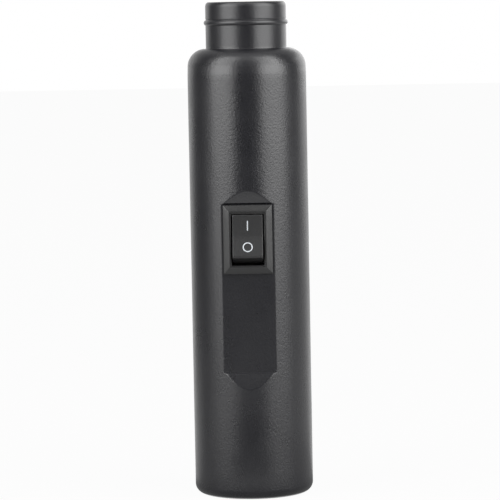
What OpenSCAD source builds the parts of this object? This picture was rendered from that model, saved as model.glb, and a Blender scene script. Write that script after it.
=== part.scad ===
// Egg candling lamp: a blow-moulded bottle body with a rocker switch in a flat front recess,
// a power inlet in the base and an LED light unit that drops into the neck.
// Z is up, the switch faces -Y and the origin is the centre of the standing ring.

/* [Body] */
// Height from the standing ring to the neck rim
total_h = 152; // [140:1:180]
// Outside diameter of the body
body_d = 36.6; // [35.4:0.2:44]
// Wall thickness of the moulded shell
wall = 1.6; // [1.2:0.1:1.8]
// Radius of the shoulder
shoulder_r = 5.5; // [3:0.25:5.5]
// Radius of the base edge
base_edge_r = 3; // [2:0.25:4]
// Depth of the hollow under the base
pushup_h = 3.4; // [3.2:0.1:5]
// Diameter of the hollow at the standing ring
pushup_d = 24; // [20:0.5:26]

/* [Neck] */
// Outside diameter of the neck
neck_d = 24.8; // [24:0.1:25]
// Height of the neck above the shoulder
neck_h = 14.4; // [13:0.2:18]
// Radius of the rim's outer edge
rim_r = 0.8; // [0.4:0.1:1]
// Height of the bead that holds an egg cup on the neck
bead_h = 0.55; // [0.3:0.05:0.8]
// Distance from the rim to the middle of the bead
bead_drop = 6.3; // [4:0.1:8]
// Depth of the open mouth above the light unit
mouth_depth = 6; // [5:0.25:7]

/* [Recess] */
// Height of the recess's lower end above the standing ring
recess_z = 39.1; // [32:0.5:44]
// Length of the flat part of the recess
recess_l = 51.7; // [51.5:0.1:56]
// Depth of the flat below the round surface
recess_depth = 1.86; // [1.75:0.01:2.4]
// Small step at each end of the flat
recess_step = 0.47; // [0.2:0.01:0.8]
// Length of the ramp from the step to the round surface
ramp_l = 3.9; // [3:0.1:6]

/* [Switch] */
// Distance from the recess's upper end down to the switch's centre
switch_drop = 10.8; // [10.8:0.2:18]
// Width of the bezel
bezel_w = 15; // [14.6:0.1:15]
// Height of the bezel
bezel_h = 21; // [20.6:0.1:21.4]
// Thickness of the bezel at its opening
bezel_t = 2; // [1.6:0.1:2.4]
// Thickness of the bezel at its outer edge
bezel_edge_t = 0.9; // [0.6:0.1:1.2]
// Width of the flat ring round the opening
bezel_flat = 0.75; // [0.4:0.05:1]
// Width of the housing behind the panel
housing_w = 12.7; // [12.3:0.1:12.7]
// Height of the housing behind the panel
housing_h = 18.8; // [18.4:0.1:18.8]
// Wall of the housing beside the rocker
side_wall = 1.325; // [1.2:0.005:1.4]
// Wall of the housing at the rocker's ends
end_wall = 1.57; // [1.4:0.01:1.7]
// Gap beside the rocker
rocker_gap = 0.375; // [0.25:0.005:0.5]
// Tilt of the rocker each side of its middle position
rocker_tilt = 10.75; // [8:0.25:12]
// Depth of the rocker's pivot below the bezel's front
pivot_depth = 5; // [4.5:0.1:5.5]
// Diameter of the rocker's pivot pins
pivot_d = 2; // [1.6:0.1:2.4]
// Tilt of the see-saw contact each side of its middle position
bridge_tilt = 6; // [4:0.25:7]
// Width of the blade terminals
blade_w = 4.8; // [4:0.1:4.8]
// Thickness of the blade terminals
blade_t = 0.8; // [0.6:0.1:1]
// Length of the blades outside the housing
blade_l = 7.5; // [6.5:0.1:8]

/* [Inlet] */
// Thread diameter of the inlet's barrel
jack_d = 8; // [8:0.1:9]
// Bore that the plug enters
jack_bore_d = 6; // [5.8:0.1:6.2]
// Diameter of the centre pin
jack_pin_d = 2.1; // [1.9:0.1:2.5]
// Width of the clamping nut across its flats
nut_af = 11; // [10.5:0.5:13]
// Thickness of the clamping nut
nut_t = 2.2; // [1.6:0.1:2.4]

/* [Light] */
// Thickness of the clear window
window_t = 2; // [1.5:0.1:3]
// Width of the LED package
led_w = 3.5; // [3:0.1:3.6]
// Thickness of the LED board
board_t = 1.6; // [1:0.1:2]
// Height of the heat sink
heat_sink_h = 7.3; // [5:0.1:9]
// Grooves round the heat sink
grooves = 12; // [8:2:16]

/* [Wiring] */
// Outside diameter of the insulated wires
wire_d = 1.4; // [1:0.1:1.6]
// Diameter of the series resistor
resistor_d = 3.6; // [2.4:0.1:4]
// Length of the series resistor's body
resistor_l = 9; // [6:0.5:10]

/* [Fits] */
// Radial clearance of the rocker's pivots and of the see-saw's groove
running_gap = 0.05; // [0.02:0.01:0.08]
// Radial clearance of pieces that drop into each other
drop_gap = 0.1; // [0.05:0.05:0.15]
// Gap of the switch's contacts and stop at the end of travel
touch_gap = 0.05; // [0.03:0.01:0.1]

/* [Hidden] */
$fn = 64;
e = 0.01;

// Shell
body_r = body_d / 2;
neck_r = neck_d / 2;
shoulder_z = total_h - neck_h;
sh_r = min(shoulder_r, body_r - neck_r - 0.3);
edge_in = max(base_edge_r - wall, 0.6);
base_t = wall + 0.2;
pushup_r = pushup_d / 2;
pushup_top_r = pushup_r - 1;
plateau_z = pushup_h + base_t;
plateau_r = pushup_r + 1;
neck_wall = 2;
bore_r = neck_r - neck_wall;
mouth_r = neck_r - 1.2;
seat_r = mouth_r - 0.2;

// Recess, as levels measured from the axis towards the front
flat_y = body_r - recess_depth;
step_y = flat_y + recess_step;
clear_y = body_r + 1;
recess_top = recess_z + recess_l;
ramp_slope = ramp_l / (body_r - step_y);
inner_y = flat_y - wall;

// Switch, in its own frame: x across, y up, z out of the panel
switch_z = recess_top - switch_drop;
opening_w = housing_w - 2 * side_wall;
opening_h = housing_h - 2 * end_wall;
rocker_w = opening_w - 2 * rocker_gap;
pivot_t = bezel_t - pivot_depth;
pivot_r = pivot_d / 2;
pin_reach = rocker_w / 2 + 1.1;
press_rise = 0.2;
face_h = (pivot_depth + press_rise) / cos(rocker_tilt);
end_gap = 0.23;
face_l = opening_h / 2 - end_gap - face_h * sin(rocker_tilt);
dish_r = 9;
dish_u = dish_r * tan(rocker_tilt);
end_l = 6;
cap_t = 1.6;
rocker_wall = 1.2;
post_r = 2.3;
post_end = -1.5;
post_bore_r = 1.5;
post_bore_top = face_h - cap_t - 0.3;
plunger_r = post_bore_r - drop_gap;
plunger_top = -0.2;
tip_reach = 3.4;
spring_wire = 0.3;
spring_r = 1.1;
spring_turns = 4;
spring_z0 = plunger_top + spring_wire / 2 + 0.02;
spring_z1 = post_bore_top - spring_wire / 2 - 0.02;

bridge_t = 0.6;
bridge_w = 4;
wing_l = opening_h / 2 - 1.03;
rib_s = 1;
contact_u = wing_l - 1;
contact_r = 1.1;
contact_h = 0.5;
valley = bridge_t + 0.25;
axis_t = pivot_t - tip_reach - touch_gap - valley;
wing_under = axis_t + valley * cos(bridge_tilt) - bridge_t;
contact_s = -(contact_u + valley * sin(bridge_tilt));
fixed_top = wing_under - contact_h - touch_gap;
shelf_top = fixed_top - contact_h;
floor_in = axis_t - 2.9;
floor_out = floor_in - 1.5;
blade_end = floor_out - blade_l;
cut_w = housing_w + 0.2;
cut_h = housing_h + 0.4;
latch_w = 5;
latch_out = 0.9;
latch_l = 3.4;
grip_l = 5;
grip_r = 1.6;
mouth_w = blade_w + 1.4;
mouth_t = blade_t + 2;
grip_end = blade_end - grip_l;
grip_y = -flat_y - grip_end;
load_z = switch_z + contact_s;

// Inlet
jack_r = jack_d / 2;
jack_bore_r = jack_bore_d / 2;
jack_pin_r = jack_pin_d / 2;
pin_root_r = jack_pin_r - 0.4;
jack_mouth = 0.6;
jack_bore_l = 10;
flange_r = jack_r + 1.6;
flange_t = 1.5;
rear_r = jack_r + 0.6;
rear_l = 12.6;
rear_top = plateau_z + rear_l;
lug_l = 4;
lug_top = rear_top + lug_l;
lug_w = 1.1;
lug_t = 0.5;
pin_inset = 2;
leaf_inset = 3;
leaf_t = 0.4;
leaf_w = 2;
leaf_x = -(jack_bore_r + 0.25);

// Light unit, stacked down from its lip
lip_t = 1.5;
seat_z = total_h - mouth_depth - lip_t;
lip_r = seat_r - drop_gap;
carrier_r = bore_r - drop_gap;
pocket_r = carrier_r - 0.9;
carrier_in = pocket_r - 0.6;
ring_t = 0.8;
flange_h = 0.8;
lip_top = seat_z + lip_t;
window_top = lip_top - ring_t;
window_z = window_top - window_t;
pocket_z = window_z - flange_h;
led_h = 0.7;
cup_r0 = led_w * sqrt(2) / 2 + 0.13;
cup_r1 = carrier_in - 0.8;
cup_wall = 0.9;
focus = (led_h + sqrt(led_h * led_h + cup_r0 * cup_r0)) / 2;
cup_h = round(25 * (cup_r1 * cup_r1 - cup_r0 * cup_r0) / focus) / 100;
board_top = window_z - cup_h;
board_z = board_top - board_t;
sink_z = board_z - heat_sink_h;
ledge_t = 1.2;
carrier_z = sink_z - ledge_t;
sink_r = carrier_in - drop_gap;
board_r = carrier_in - 0.3;
wire_x = sink_r - 2.3;
hook_z = shoulder_z - wall - drop_gap;
hook_r = bore_r + 0.5;

// Wiring
wire_r = wire_d / 2;
wire_hole_r = wire_r + 0.3;
lead_l = 4;
cap_l = 2;
inside_r = body_r - wall;
side_x = inside_r - 6;
res_y = 0.5;
res_z = lug_top + 14;
res_top = res_z + 2 * lead_l + resistor_l;
feed_x = -mouth_w / 2 - 1.5;
exit_y = min(grip_y + 1.6, inside_r - wire_r - 0.6);
bend_y = min(grip_y + 2.8, inside_r - wire_r - 0.6);
lamp_rise = carrier_z - load_z;
return_rise = carrier_z - res_top;

// Routes of the wires, from end to end
feed_route = [[0, 0, lug_top], [0, 0, lug_top + 2], [-1, 2, lug_top + 9],
    [feed_x, 6, lug_top + 20], [feed_x, 7, (lug_top + switch_z) / 2],
    [feed_x, 7, switch_z - 12], [feed_x, 7.5, switch_z - 6], [-3, bend_y, switch_z - 0.8],
    [0, exit_y, switch_z], [0, grip_y, switch_z]];
lamp_route = [[0, grip_y, load_z], [0, exit_y, load_z], [3, bend_y, load_z + 1.5],
    [side_x - 2, 7, load_z + 6], [side_x, 4, load_z + 0.4 * lamp_rise],
    [side_x - 1, 2, load_z + 0.65 * lamp_rise], [wire_x, 0, carrier_z - 4],
    [wire_x, 0, carrier_z], [wire_x, 0, board_top - 2], [wire_x, 0, board_top]];
return_upper_route = [[-side_x, res_y, res_top], [-side_x, res_y, res_top + 2],
    [-side_x, 1, res_top + 0.3 * return_rise], [-side_x, 1, res_top + 0.6 * return_rise],
    [-wire_x, 0, carrier_z - 4], [-wire_x, 0, carrier_z], [-wire_x, 0, board_top - 2],
    [-wire_x, 0, board_top]];
return_lower_route = [[leaf_x, 0, lug_top], [leaf_x, 0, lug_top + 2],
    [(leaf_x - side_x) / 2, 0.3, lug_top + 7], [-side_x, res_y, res_z - 2],
    [-side_x, res_y, res_z]];

// Point on a smooth curve through four neighbouring points
function curve(a, b, c, d, u) =
    0.5 * (2 * b + (c - a) * u + (2 * a - 5 * b + 4 * c - d) * u * u
    + (3 * b - a - 3 * c + d) * u * u * u);

// Points along a route, with straight end legs and n steps between the points inside them
function smooth(p, n) = let (k = len(p) - 1) concat([p[0]],
    [for (i = [1 : k - 2], j = [0 : n - 1]) curve(p[i - 1], p[i], p[i + 1], p[i + 2], j / n)],
    [p[k - 1], p[k]]);

function unit(v) = v / norm(v);

// Direction of a path at one of its points
function heading(p, i) = unit(p[min(i + 1, len(p) - 1)] - p[max(i - 1, 0)]);

// Ring of points round a path, square to it and turned from the ref direction
function ring(p, i, r, sides, ref) = let (
    d = i == 0 ? unit(p[1] - p[0]) : i == len(p) - 1 ? unit(p[i] - p[i - 1]) : heading(p, i),
    u = unit(cross(ref, d)), v = cross(d, u))
    [for (k = [0 : sides - 1]) let (a = 360 * k / sides) p[i] + r * (cos(a) * u + sin(a) * v)];

// Closed tube along a path
module tube(p, r, sides = 8, ref = [1, 0, 0]) {
    n = len(p);
    points = [for (i = [0 : n - 1]) each ring(p, i, r, sides, ref)];
    side_faces = [for (i = [0 : n - 2], k = [0 : sides - 1], h = [0, 1])
        let (m = (k + 1) % sides, a = i * sides, b = a + sides)
        h == 0 ? [a + k, b + k, b + m] : [a + k, b + m, a + m]];
    first = [for (k = [0 : sides - 1]) k];
    last = [for (k = [sides - 1 : -1 : 0]) (n - 1) * sides + k];
    polyhedron(points, concat([first, last], side_faces), convexity = 6);
}

// Outline drawn across and up, run along x
module along_x(w) rotate([90, 0, 90]) linear_extrude(w, center = true) children();

// Outline drawn across x and up z, run along y
module along_y(w) rotate([90, 0, 0]) linear_extrude(w, center = true) children();

// Places the switch's frame on the recess's flat
module at_switch() translate([0, -flat_y, switch_z]) rotate([90, 0, 0]) children();

// Half section of a bottle with a rounded base edge, shoulder and neck
module bottle(r, neck, z0, z1, z2, edge, sh) {
    translate([0, z0]) square([r - edge, edge]);
    translate([r - edge, z0 + edge]) circle(edge);
    translate([0, z0 + edge]) square([r, z1 - sh - z0 - edge]);
    translate([r - sh, z1 - sh]) circle(sh);
    translate([0, z1 - sh]) square([r - sh, sh]);
    translate([0, z1 - e]) square([neck, z2 - z1 + e]);
}

// Recess outline, out to beyond the body's surface
module recess_outline(level, step, grow) {
    run = ramp_slope * (clear_y - level - step);
    polygon([[-level, recess_z - grow], [-level, recess_top + grow],
        [-level - step, recess_top + grow], [-clear_y, recess_top + grow + run],
        [-clear_y, recess_z - grow - run], [-level - step, recess_z - grow]]);
}

module shell_outside() {
    difference() {
        rotate_extrude() {
            bottle(body_r, neck_r, 0, shoulder_z, total_h - rim_r, base_edge_r, sh_r);
            translate([0, total_h - rim_r - e]) square([neck_r - rim_r, rim_r + e]);
            translate([neck_r - rim_r, total_h - rim_r]) circle(rim_r);
            translate([neck_r, total_h - bead_drop]) circle(bead_h);
        }
        along_x(body_d) recess_outline(flat_y, recess_step, 0);
        rotate_extrude() polygon([[0, -1], [pushup_r + 0.3, -1], [pushup_top_r, pushup_h],
            [0, pushup_h]]);
    }
}

module shell_inside() {
    difference() {
        rotate_extrude()
            bottle(body_r - wall, bore_r, base_t, shoulder_z - wall, total_h + 1, edge_in,
                sh_r - wall);
        cylinder(r = plateau_r, h = plateau_z);
        along_x(body_d) recess_outline(inner_y, 0, wall / 2);
    }
}

module body_shell() {
    color("#1c1c1e") difference() {
        shell_outside();
        shell_inside();
        translate([0, 0, seat_z]) cylinder(r = seat_r, h = total_h);
        translate([0, 0, lip_top + drop_gap]) cylinder(r = mouth_r, h = total_h);
        translate([0, 0, pushup_h - 1]) cylinder(r = jack_r + drop_gap, h = base_t + 2);
        at_switch() translate([-cut_w / 2, -cut_h / 2, -wall - 1]) cube([cut_w, cut_h, wall + 2]);
    }
}

// Bezel with a flat ring and four mitred slopes
module bezel() {
    sx = (bezel_w - opening_w) / 2 - bezel_flat;
    sy = (bezel_h - opening_h) / 2 - bezel_flat;
    intersection() {
        along_x(bezel_w) slope_outline(bezel_h, sy);
        along_y(bezel_h) slope_outline(bezel_w, sx);
    }
}

module slope_outline(w, s) polygon([[-w / 2, 0], [w / 2, 0], [w / 2, bezel_edge_t],
    [w / 2 - s, bezel_t], [s - w / 2, bezel_t], [-w / 2, bezel_edge_t]]);

// Wedge on an end of the housing that snaps behind the panel
module latch() along_x(latch_w) polygon([[housing_h / 2 - 0.5, -wall - 0.1],
    [housing_h / 2 + latch_out, -wall - 0.1], [housing_h / 2 + latch_out, -wall - 0.5],
    [housing_h / 2, -wall - latch_l], [housing_h / 2 - 0.5, -wall - latch_l]]);

module switch_frame() {
    color("#242427") at_switch() {
        difference() {
            union() {
                bezel();
                translate([-housing_w / 2, -housing_h / 2, floor_out])
                    cube([housing_w, housing_h, e - floor_out]);
                latch();
                mirror([0, 1, 0]) latch();
            }
            translate([-opening_w / 2, -opening_h / 2, floor_in])
                cube([opening_w, opening_h, 30]);
            translate([0, 0, pivot_t]) rotate([0, 90, 0])
                cylinder(r = pivot_r + running_gap, h = 2 * pin_reach + 0.2, center = true);
            for (s = [0, contact_s]) translate([-blade_w / 2, s - blade_t / 2, floor_out - 1])
                cube([blade_w, blade_t, 4]);
        }
        translate([-bridge_w / 2, contact_u - 0.8, floor_in - e])
            cube([bridge_w, 1.6, wing_under - touch_gap - floor_in + e]);
    }
}

// Places a piece in the rocker's frame, with its I end pressed in
module at_rocker() at_switch() translate([0, 0, pivot_t]) rotate([-rocker_tilt, 0, 0]) children();

// Point of one half of the rocker: u along its face, w down from it
function rocker_point(side, u, w) = [side * (u * cos(rocker_tilt) + w * sin(rocker_tilt)),
    face_h + u * sin(rocker_tilt) - w * cos(rocker_tilt)];

// Outline of the rocker from the side: two faces with a rounded valley, square ends, pivot boss
module rocker_outline() {
    polygon([[0, face_h], rocker_point(1, face_l, 0), rocker_point(1, face_l, end_l),
        [pivot_r + 2.4, -pivot_r], [pivot_r + 0.4, -pivot_r - 0.8],
        [-pivot_r - 0.4, -pivot_r - 0.8], [-pivot_r - 2.4, -pivot_r],
        rocker_point(-1, face_l, end_l), rocker_point(-1, face_l, 0)]);
    // Fillet of the valley
    difference() {
        polygon([rocker_point(1, dish_u, 0), rocker_point(-1, dish_u, 0), [0, face_h]]);
        translate([0, face_h + dish_r / cos(rocker_tilt)]) circle(dish_r);
    }
}

module rocker_hollow() polygon([[0, face_h - cap_t / cos(rocker_tilt)],
    rocker_point(1, face_l - rocker_wall, cap_t), rocker_point(1, face_l - rocker_wall, end_l + 8),
    rocker_point(-1, face_l - rocker_wall, end_l + 8), rocker_point(-1, face_l - rocker_wall, cap_t)]);

module switch_rocker() {
    color("#2a2a2d") at_rocker() difference() {
        union() {
            difference() {
                along_x(rocker_w) rocker_outline();
                along_x(rocker_w - 2 * rocker_wall) rocker_hollow();
            }
            translate([0, 0, post_end]) cylinder(r = post_r, h = face_h - cap_t - post_end + 0.2);
            for (s = [-1, 1]) translate([s * (rocker_w / 2 - 0.6), 0, 0]) rotate([0, s * 90, 0])
                cylinder(r = pivot_r, h = pin_reach - rocker_w / 2 + 0.6);
        }
        translate([0, 0, post_end - 1]) cylinder(r = post_bore_r, h = post_bore_top - post_end + 1);
    }
}

module rocker_plunger() {
    color("#c9a45a") at_rocker() {
        translate([0, 0, plunger_r - tip_reach])
            cylinder(r = plunger_r, h = plunger_top - plunger_r + tip_reach);
        translate([0, 0, plunger_r - tip_reach]) sphere(plunger_r);
    }
}

// Centre line of the spring, 8 points to a turn
spring_path = [for (i = [0 : 8 * spring_turns]) let (a = 45 * i)
    [spring_r * cos(a), spring_r * sin(a),
    spring_z0 + (spring_z1 - spring_z0) * i / (8 * spring_turns)]];
spring_gap = min([for (i = [0 : len(spring_path) - 5], j = [i + 4 : len(spring_path) - 1])
    norm(spring_path[i] - spring_path[j])]) - spring_wire;
echo(spring_gap = spring_gap);

module rocker_spring() {
    color("silver") at_rocker() tube(spring_path, spring_wire / 2, 6, [0, 0, 1]);
}

// Places a piece in the see-saw's frame, with its lower contact closed
module at_bridge() at_switch() translate([0, 0, axis_t]) rotate([bridge_tilt, 0, 0]) children();

// See-saw strip: two wings that rise from a valley, with a grooved rib under the valley
module bridge_outline() {
    c = cos(bridge_tilt);
    s = sin(bridge_tilt);
    under = valley - bridge_t / c + rib_s * s / c;
    top = [wing_l * c, valley + wing_l * s];
    low = top + bridge_t * [s, -c];
    difference() {
        polygon([[0, valley], top, low, [rib_s, under], [rib_s, -0.2], [-rib_s, -0.2],
            [-rib_s, under], [-low[0], low[1]], [-top[0], top[1]]]);
        circle(blade_t / 2 + running_gap);
        translate([-blade_t / 2 - running_gap, -1]) square([blade_t + 2 * running_gap, 1]);
    }
}

module contact_bridge() {
    color("#c9a45a") at_bridge() along_x(bridge_w) bridge_outline();
}

module contact_button(s, t) at_switch() translate([0, s, t]) cylinder(r = contact_r, h = contact_h);

module bridge_contact() {
    color("silver") contact_button(contact_s, wing_under - contact_h);
}

module fixed_contact() {
    color("silver") contact_button(contact_s, shelf_top);
}

// Blade of a terminal from a given height to its drilled end
module blade(s, top) difference() {
    translate([-blade_w / 2, s - blade_t / 2, blade_end])
        cube([blade_w, blade_t, top - blade_end]);
    translate([0, s, blade_end + 2.6]) rotate([90, 0, 0]) cylinder(r = 0.8, h = 4, center = true);
}

module common_terminal() {
    color("#c9a45a") at_switch() {
        blade(0, axis_t);
        translate([0, 0, axis_t]) rotate([0, 90, 0])
            cylinder(r = blade_t / 2, h = blade_w, center = true);
    }
}

module load_terminal() {
    color("#c9a45a") at_switch() {
        blade(contact_s, shelf_top - blade_t / 2);
        translate([-bridge_w / 2, contact_s - contact_r - 0.3, shelf_top - blade_t])
            cube([bridge_w, 2 * contact_r + 0.6, blade_t]);
    }
}

// Insulated push-on connector: a flat mouth over the blade and a round wire end
module spade_connectors() {
    color("#8f2a2a") at_switch() for (s = [0, contact_s]) difference() {
        union() {
            translate([-mouth_w / 2, s - mouth_t / 2, blade_end - 0.5])
                cube([mouth_w, mouth_t, blade_l - 0.7]);
            translate([0, s, grip_end]) cylinder(r = grip_r, h = grip_l);
        }
        translate([-blade_w / 2 - 0.05, s - blade_t / 2 - 0.05, blade_end])
            cube([blade_w + 0.1, blade_t + 0.1, blade_l]);
    }
}

module dc_jack_barrel() {
    color("#202022") difference() {
        union() {
            translate([0, 0, jack_mouth]) cylinder(r = jack_r, h = rear_top - jack_mouth);
            translate([0, 0, plateau_z]) cylinder(r = flange_r, h = flange_t);
            translate([0, 0, plateau_z]) cylinder(r = rear_r, h = rear_top - plateau_z);
        }
        translate([0, 0, jack_mouth - 1]) cylinder(r = jack_bore_r, h = jack_bore_l + 1);
        cylinder(r = pin_root_r + 0.02, h = rear_top + 1);
        translate([leaf_x - leaf_t / 2, -leaf_w / 2 - 0.05, jack_mouth + leaf_inset]) {
            cube([3 * leaf_t, leaf_w + 0.1, jack_bore_l - leaf_inset]);
            cube([leaf_t, leaf_w + 0.1, rear_top]);
        }
    }
}

module dc_jack_pin() {
    color("#cfcab8") {
        translate([0, 0, jack_mouth + pin_inset])
            cylinder(r = jack_pin_r, h = jack_bore_l - pin_inset);
        translate([0, 0, jack_mouth + pin_inset])
            cylinder(r = pin_root_r, h = rear_top - jack_mouth - pin_inset);
        translate([0, 0, jack_mouth + pin_inset]) sphere(jack_pin_r);
        translate([-lug_t / 2, -lug_w / 2, rear_top - 1]) cube([lug_t, lug_w, lug_l + 1]);
    }
}

// Sleeve contact: a strip along the bore's wall with a bowed end that presses on the plug
module dc_jack_leaf() {
    z0 = jack_mouth + leaf_inset + leaf_t;
    z1 = jack_mouth + jack_bore_l - 1;
    x0 = leaf_x - leaf_t / 2;
    bow = 0.45;
    color("#cfcab8") along_y(leaf_w) polygon([[x0, lug_top], [x0, z1],
        [x0 + bow, (z0 + z1) / 2], [x0, z0], [x0 + leaf_t, z0], [x0 + leaf_t + bow, (z0 + z1) / 2],
        [x0 + leaf_t, z1], [x0 + leaf_t, lug_top]]);
}

module dc_jack_nut() {
    color("#b9bcc0") translate([0, 0, pushup_h - nut_t]) difference() {
        cylinder(r = nut_af / 2 / cos(30), h = nut_t, $fn = 6);
        translate([0, 0, -1]) cylinder(r = jack_r + running_gap, h = nut_t + 2);
    }
}

// Hooks that snap under the neck's inner edge, one on each quarter
module carrier_hooks() intersection() {
    rotate_extrude() polygon([[carrier_r - 0.5, hook_z - 3.4], [carrier_r, hook_z - 3.4],
        [hook_r, hook_z - 0.4], [hook_r, hook_z], [carrier_r - 0.5, hook_z]]);
    union() for (a = [45, 135]) rotate(a) translate([-20, -2, hook_z - 5]) cube([40, 4, 6]);
}

module lamp_carrier() {
    color("#222225") difference() {
        union() {
            translate([0, 0, carrier_z]) cylinder(r = carrier_r, h = lip_top - carrier_z);
            translate([0, 0, seat_z]) cylinder(r = lip_r, h = lip_t);
            carrier_hooks();
        }
        translate([0, 0, sink_z]) cylinder(r = carrier_in, h = total_h);
        translate([0, 0, pocket_z]) cylinder(r = pocket_r, h = total_h);
        translate([0, 0, carrier_z - 1]) cylinder(r = wire_x + wire_hole_r, h = ledge_t + 2);
        for (a = [45 : 90 : 315], s = [-1, 1]) rotate(a)
            translate([carrier_in - 1, s * 2.5 - 0.4, hook_z - 5]) cube([4, 0.8, 7.5]);
    }
}

module heat_sink() {
    color("#c4c7ca") translate([0, 0, sink_z]) difference() {
        cylinder(r = sink_r, h = heat_sink_h);
        for (s = [-1, 1]) translate([s * wire_x, 0, -1]) cylinder(r = wire_hole_r, h = 20);
        for (i = [0 : grooves - 1]) rotate((i + 0.5) * 360 / grooves)
            translate([sink_r - 0.8, -0.6, 1.2]) cube([2, 1.2, heat_sink_h - 2.4]);
    }
}

module led_board() {
    color("#e8e8e4") translate([0, 0, board_z]) difference() {
        cylinder(r = board_r, h = board_t);
        for (s = [-1, 1]) translate([s * wire_x, 0, -1]) cylinder(r = wire_hole_r, h = board_t + 2);
    }
}

module led_package() {
    color("#f2f0e6") translate([-led_w / 2, -led_w / 2, board_top]) cube([led_w, led_w, led_h]);
}

module led_dome() {
    color("#f0d860") translate([0, 0, board_top + led_h]) intersection() {
        sphere(led_w / 2 - 0.25);
        translate([-5, -5, 0]) cube([10, 10, 10]);
    }
}

// Radius of the reflector's inside at a height above its small end
function cup_r(h) = sqrt(cup_r0 * cup_r0 + 4 * focus * h);

module reflector() {
    steps = 14;
    color("#dfe3e6") translate([0, 0, board_top]) rotate_extrude() polygon(concat(
        [for (i = [0 : steps]) [cup_r(cup_h * i / steps), cup_h * i / steps]],
        [[pocket_r - drop_gap, cup_h], [pocket_r - drop_gap, cup_h - flange_h]],
        [for (i = [steps - 1 : -1 : 0]) let (h = (cup_h - flange_h) * i / (steps - 1))
            [min(cup_r(h) + cup_wall, carrier_in - 0.1), h]]));
}

module lens_window() {
    color("#dfeef2") translate([0, 0, window_z]) cylinder(r = pocket_r - drop_gap, h = window_t);
}

module lens_ring() {
    color("#2b2b2e") translate([0, 0, window_top]) rotate_extrude()
        polygon([[pocket_r - 1, 0], [pocket_r - drop_gap / 2, 0], [pocket_r - drop_gap / 2, ring_t],
            [pocket_r - 0.6, ring_t]]);
}

module feed_wire() {
    color("#b3231f") tube(smooth(feed_route, 2), wire_r);
}

module lamp_wire() {
    color("#b3231f") tube(smooth(lamp_route, 2), wire_r);
}

module return_wire_upper() {
    color("#1d1d1f") tube(smooth(return_upper_route, 2), wire_r);
}

module return_wire_lower() {
    color("#1d1d1f") tube(smooth(return_lower_route, 2), wire_r);
}

module series_resistor() {
    color("#cdb98a") translate([-side_x, res_y, res_z]) {
        cylinder(r = 0.35, h = res_top - res_z);
        translate([0, 0, lead_l]) cylinder(r = resistor_d / 2 - 0.2, h = resistor_l);
        for (z = [lead_l, lead_l + resistor_l - cap_l]) translate([0, 0, z])
            cylinder(r = resistor_d / 2, h = cap_l);
    }
}

module resistor_sleeve() {
    color("#30302f") translate([-side_x, res_y, res_z + 0.5]) difference() {
        cylinder(r = resistor_d / 2 + 0.5, h = res_top - res_z - 1);
        translate([0, 0, -1]) cylinder(r = resistor_d / 2 + 0.15, h = res_top);
    }
}

module solder_joints() {
    color("#bfc3c6") for (s = [-1, 1]) translate([s * wire_x, 0, board_top]) intersection() {
        sphere(wire_hole_r + 0.2);
        translate([-5, -5, 0]) cube([10, 10, 10]);
    }
}

body_shell();
switch_frame();
switch_rocker();
rocker_plunger();
rocker_spring();
contact_bridge();
bridge_contact();
fixed_contact();
common_terminal();
load_terminal();
spade_connectors();
dc_jack_barrel();
dc_jack_pin();
dc_jack_leaf();
dc_jack_nut();
lamp_carrier();
heat_sink();
led_board();
led_package();
led_dome();
reflector();
lens_window();
lens_ring();
feed_wire();
lamp_wire();
return_wire_upper();
return_wire_lower();
series_resistor();
resistor_sleeve();
solder_joints();
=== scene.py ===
"""Egg candling lamp: moulded body, rocker switch, power inlet and light unit, dressed round the solids."""

import math
from types import SimpleNamespace

import bmesh
import bpy
import numpy as np
from mathutils import Matrix, Vector


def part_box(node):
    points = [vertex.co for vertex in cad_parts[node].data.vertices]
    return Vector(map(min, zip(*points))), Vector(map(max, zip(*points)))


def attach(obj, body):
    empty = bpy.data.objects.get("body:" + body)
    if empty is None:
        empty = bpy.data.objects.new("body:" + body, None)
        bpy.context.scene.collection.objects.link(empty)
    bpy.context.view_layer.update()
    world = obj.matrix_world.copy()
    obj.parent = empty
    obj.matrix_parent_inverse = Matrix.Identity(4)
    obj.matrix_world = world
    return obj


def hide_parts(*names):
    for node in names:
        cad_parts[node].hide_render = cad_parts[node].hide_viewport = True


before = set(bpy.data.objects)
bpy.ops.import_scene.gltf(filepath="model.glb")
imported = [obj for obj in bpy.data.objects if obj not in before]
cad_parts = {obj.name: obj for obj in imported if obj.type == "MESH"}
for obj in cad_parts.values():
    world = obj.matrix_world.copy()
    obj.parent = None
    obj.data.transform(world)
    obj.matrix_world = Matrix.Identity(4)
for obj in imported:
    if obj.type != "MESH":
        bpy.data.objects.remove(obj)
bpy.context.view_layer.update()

bl_info = {
    "name": "Egg Candling Lamp",
    "version": (1, 0, 0),
    "blender": (4, 5, 0),
    "location": "View3D > Sidebar > Candling Lamp",
    "description": "Builds the visible surfaces, finishes and studio of an egg candling lamp",
    "category": "Add Mesh",
}

MM = 0.001
SHELL_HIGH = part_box("body_shell")[1]
FRAME_LOW, FRAME_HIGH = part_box("switch_frame")
SWITCH_Z = (FRAME_LOW.z + FRAME_HIGH.z) / 2

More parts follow.
